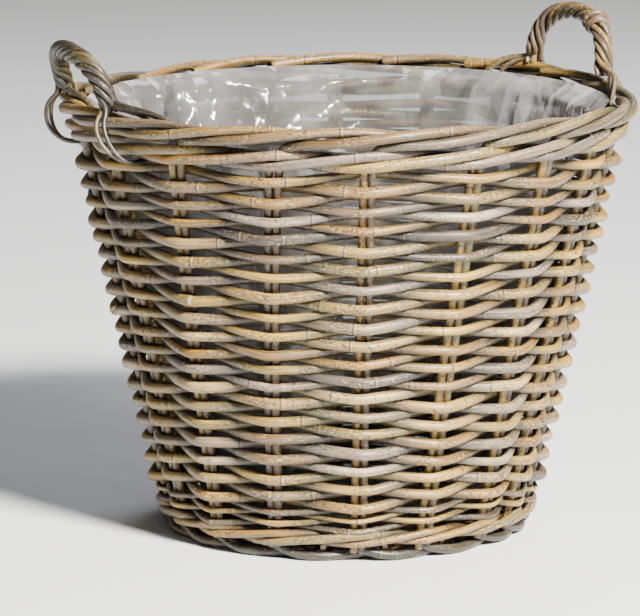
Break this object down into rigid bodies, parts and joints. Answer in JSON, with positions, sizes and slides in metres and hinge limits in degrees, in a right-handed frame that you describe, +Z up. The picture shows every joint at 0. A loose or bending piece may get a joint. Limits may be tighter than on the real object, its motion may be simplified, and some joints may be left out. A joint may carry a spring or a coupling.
{
  "type": "wicker log basket",
  "caption": "Round flared rattan basket with a rolled rim, twisted carrying handles at the sides and a clear plastic liner, for holding logs.",
  "frame": {"origin": "centre of the foot, on the surface that the basket stands on", "axes": "+Z up through the open top; -Y is the front, with a handle at each side, on -X and on +X towards the back"},
  "size_m": [0.5632, 0.5572, 0.4898],
  "materials": {
    "stakes": "natural peeled rattan, satin",
    "weave": "grey kubu rattan with bark, satin",
    "wale": "grey kubu rattan with bark, satin",
    "base": "grey kubu rattan with bark, matt",
    "handles": "grey kubu rattan with bark, satin",
    "liner": "clear crinkled polythene"
  },
  "bodies": {
    "root": {"stake_pair_01": "stakes", "stake_pair_02": "stakes", "stake_pair_03": "stakes", "stake_pair_04": "stakes", "stake_pair_05": "stakes", "stake_pair_06": "stakes", "stake_pair_07": "stakes", "stake_pair_08": "stakes", "stake_pair_09": "stakes", "stake_pair_10": "stakes", "stake_pair_11": "stakes", "stake_pair_12": "stakes", "stake_pair_13": "stakes", "stake_pair_14": "stakes", "stake_pair_15": "stakes", "stake_pair_16": "stakes", "stake_pair_17": "stakes", "stake_pair_18": "stakes", "weave_round_01": "weave", "weave_round_02": "weave", "weave_round_03": "weave", "weave_round_04": "weave", "weave_round_05": "weave", "weave_round_06": "weave", "weave_round_07": "weave", "weave_round_08": "weave", "weave_round_09": "weave", "weave_round_10": "weave", "weave_round_11": "weave", "weave_round_12": "weave", "weave_round_13": "weave", "weave_round_14": "weave", "weave_round_15": "weave", "weave_round_16": "weave", "weave_round_17": "weave", "weave_round_18": "weave", "weave_round_19": "weave", "weave_round_20": "weave", "bottom_wale": "wale", "top_wale": "wale", "foot_border": "wale", "base_sticks_upper": "base", "base_sticks_lower": "base", "base_binding": "base", "base_weave_inner": "base", "base_weave_outer": "base", "handle_left_core": "handles", "handle_left_rods": "handles", "handle_right_core": "handles", "handle_right_rods": "handles", "liner": "liner"}
  },
  "joints": []
}
